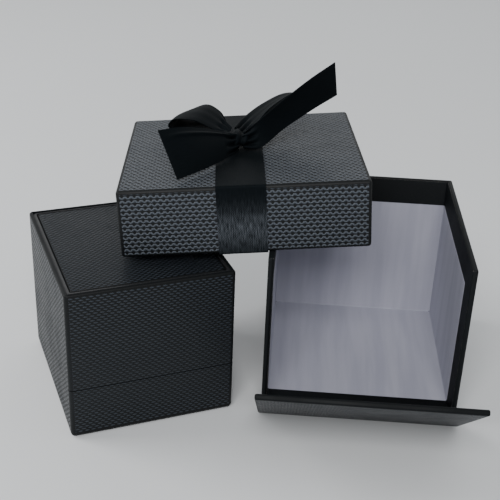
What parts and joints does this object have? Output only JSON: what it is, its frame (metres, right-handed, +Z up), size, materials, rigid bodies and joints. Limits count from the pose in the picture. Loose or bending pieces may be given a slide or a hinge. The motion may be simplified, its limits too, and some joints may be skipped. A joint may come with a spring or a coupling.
{
  "type": "jewelry gift box",
  "caption": "Hinged ring box with a drop-front outer box and a ribboned, bow-topped lid, in black embossed leatherette paper with a white lining.",
  "frame": {"origin": "centre of the outer box's flat underside, on the surface that all three units stand on", "axes": "+Z up; +Y from the outer box's open front to its back; +X along the outer box's width, away from the ring box"},
  "size_m": [0.1544, 0.1241, 0.111],
  "materials": {
    "leatherette": "embossed basket weave, low sheen",
    "greyboard": "bare greyboard, wrapped",
    "white_paper": "smooth matt lining paper",
    "satin_ribbon": "black satin",
    "moulded_shell": "moulded, covered",
    "velvet": "short pile",
    "pad_satin": "white satin",
    "hinge_steel": "plated",
    "felt": "short felt"
  },
  "bodies": {
    "outer_box": {"outer_floor_board": "greyboard", "outer_back_board": "greyboard", "outer_left_board": "greyboard", "outer_right_board": "greyboard", "outer_wall_wrap": "leatherette", "outer_bottom_paper": "leatherette", "outer_wall_liner": "white_paper", "outer_floor_liner": "white_paper", "front_hinge_strip": "leatherette"},
    "drop_front": {"drop_front_board": "greyboard", "drop_front_wrap": "leatherette", "drop_front_liner": "white_paper"},
    "bow_lid": {"lid_top_board": "greyboard", "lid_front_board": "greyboard", "lid_back_board": "greyboard", "lid_left_board": "greyboard", "lid_right_board": "greyboard", "lid_wrap": "leatherette", "lid_liner": "white_paper", "ribbon_band": "satin_ribbon", "bow_knot": "satin_ribbon", "bow_left_loop": "satin_ribbon", "bow_right_loop": "satin_ribbon", "bow_left_tail": "satin_ribbon", "bow_right_tail": "satin_ribbon"},
    "ring_base": {"ring_base_shell": "moulded_shell", "ring_base_cover": "leatherette", "ring_base_felt": "felt", "ring_base_lip": "velvet", "ring_cushion_front": "velvet", "ring_cushion_rear": "velvet", "hinge_base_leaf": "hinge_steel", "hinge_pin": "hinge_steel", "hinge_snap_spring": "hinge_steel"},
    "ring_lid": {"ring_lid_shell": "moulded_shell", "ring_lid_cover": "leatherette", "ring_lid_top_panel": "leatherette", "ring_lid_lining": "velvet", "ring_lid_pad": "pad_satin", "hinge_lid_leaf": "hinge_steel"}
  },
  "joints": [
    {"name": "front_hinge", "type": "hinge", "parent": "outer_box", "child": "drop_front", "pos_m": [0, -0.0391, 0], "axis": [-1, 0, 0], "range_deg": [-40.5, 49.5]},
    {"name": "bow_lid_lift", "type": "slide", "parent": "outer_box", "child": "bow_lid", "axis": [0, 0, 1], "range_m": [0, 0.15]},
    {"name": "ring_box_slide", "type": "slide", "parent": "outer_box", "child": "ring_base", "axis": [-1, 0, 0], "range_m": [0, 0.06]},
    {"name": "ring_lid_hinge", "type": "hinge", "parent": "ring_base", "child": "ring_lid", "pos_m": [-0.09502, 0.00833, 0.01865], "axis": [-0.91, -0.4147, 0], "range_deg": [0, 90]}
  ],
  "couplings": [
    {"joint": "ring_lid_hinge", "follows": "bow_lid_lift", "rad_per_m": 10.46}
  ]
}
